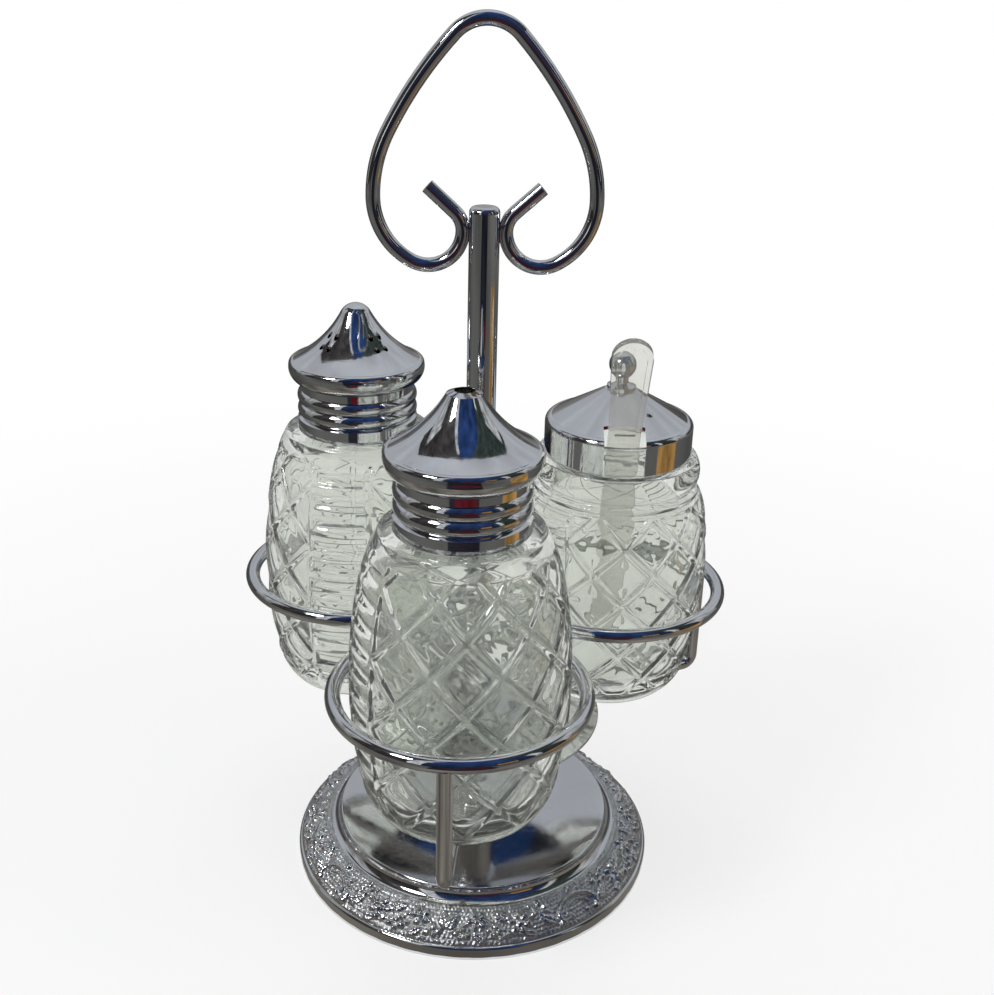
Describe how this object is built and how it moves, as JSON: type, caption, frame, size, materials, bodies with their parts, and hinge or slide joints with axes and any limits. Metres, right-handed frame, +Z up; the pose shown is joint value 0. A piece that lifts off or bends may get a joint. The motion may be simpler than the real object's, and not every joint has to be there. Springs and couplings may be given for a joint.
{
  "type": "revolving cruet stand",
  "caption": "Revolving chrome cruet stand: round embossed foot, post with heart-shaped wire handle, and wire rings holding glass salt and pepper shakers and a mustard pot.",
  "frame": {"origin": "on the post's axis, at the height of the table under the foot's rim", "axes": "+Z up along the post, -Y towards the pepper shaker at the front, +X to the right towards the mustard pot; the heart handle lies in the XZ plane"},
  "size_m": [0.1242, 0.1181, 0.2078],
  "materials": {
    "chrome": "bright polished plate on steel wire, tube and sheet",
    "foot_chrome": "bright plate over a pressed floral band, slightly worn",
    "cap_chrome": "bright plated thin sheet, slightly tarnished at edges",
    "steel": "plain zinc-plated steel",
    "jar_glass": "pressed clear glass with a faint green-grey tint",
    "spoon_plastic": "clear moulded plastic, lightly scratched"
  },
  "bodies": {
    "stand": {"base_plate": "foot_chrome", "base_washer": "steel", "base_nut": "steel", "center_post": "chrome", "support_sleeve": "chrome", "retaining_collar": "chrome", "handle_wire": "chrome"},
    "carousel": {"carousel_plate": "chrome", "carousel_hub": "chrome", "pepper_ring": "chrome", "salt_ring": "chrome", "mustard_ring": "chrome", "pepper_cradle": "chrome", "salt_cradle": "chrome", "mustard_cradle": "chrome"},
    "pepper_shaker": {"pepper_glass": "jar_glass"},
    "pepper_top": {"pepper_cap": "cap_chrome"},
    "salt_shaker": {"salt_glass": "jar_glass"},
    "salt_top": {"salt_cap": "cap_chrome"},
    "mustard_pot": {"mustard_glass": "jar_glass"},
    "mustard_cover": {"mustard_lid": "cap_chrome", "lid_knob": "cap_chrome"},
    "spoon": {"mustard_spoon": "spoon_plastic"}
  },
  "joints": [
    {"name": "carousel_spin", "type": "hinge", "parent": "stand", "child": "carousel", "pos_m": [0, 0, 0.0412], "axis": [0, 0, 1], "continuous": true},
    {"name": "pepper_lift", "type": "slide", "parent": "carousel", "child": "pepper_shaker", "axis": [-0.0135, -0.1718, 0.985], "range_m": [0, 0.0275]},
    {"name": "salt_lift", "type": "slide", "parent": "carousel", "child": "salt_shaker", "axis": [-0.1421, 0.0976, 0.985], "range_m": [0, 0.0275]},
    {"name": "mustard_lift", "type": "slide", "parent": "carousel", "child": "mustard_pot", "axis": [0.1556, 0.0742, 0.985], "range_m": [0, 0.0275]},
    {"name": "pepper_cap_lift", "type": "slide", "parent": "pepper_shaker", "child": "pepper_top", "axis": [0, 0, 1], "range_m": [0, 0.012]},
    {"name": "salt_cap_lift", "type": "slide", "parent": "salt_shaker", "child": "salt_top", "axis": [0, 0, 1], "range_m": [0, 0.012]},
    {"name": "mustard_lid_lift", "type": "slide", "parent": "mustard_pot", "child": "mustard_cover", "axis": [0, 0, 1], "range_m": [0, 0.016]},
    {"name": "spoon_lift", "type": "slide", "parent": "mustard_pot", "child": "spoon", "axis": [0, -0.2874, 0.9578], "range_m": [0, 0.073]}
  ]
}
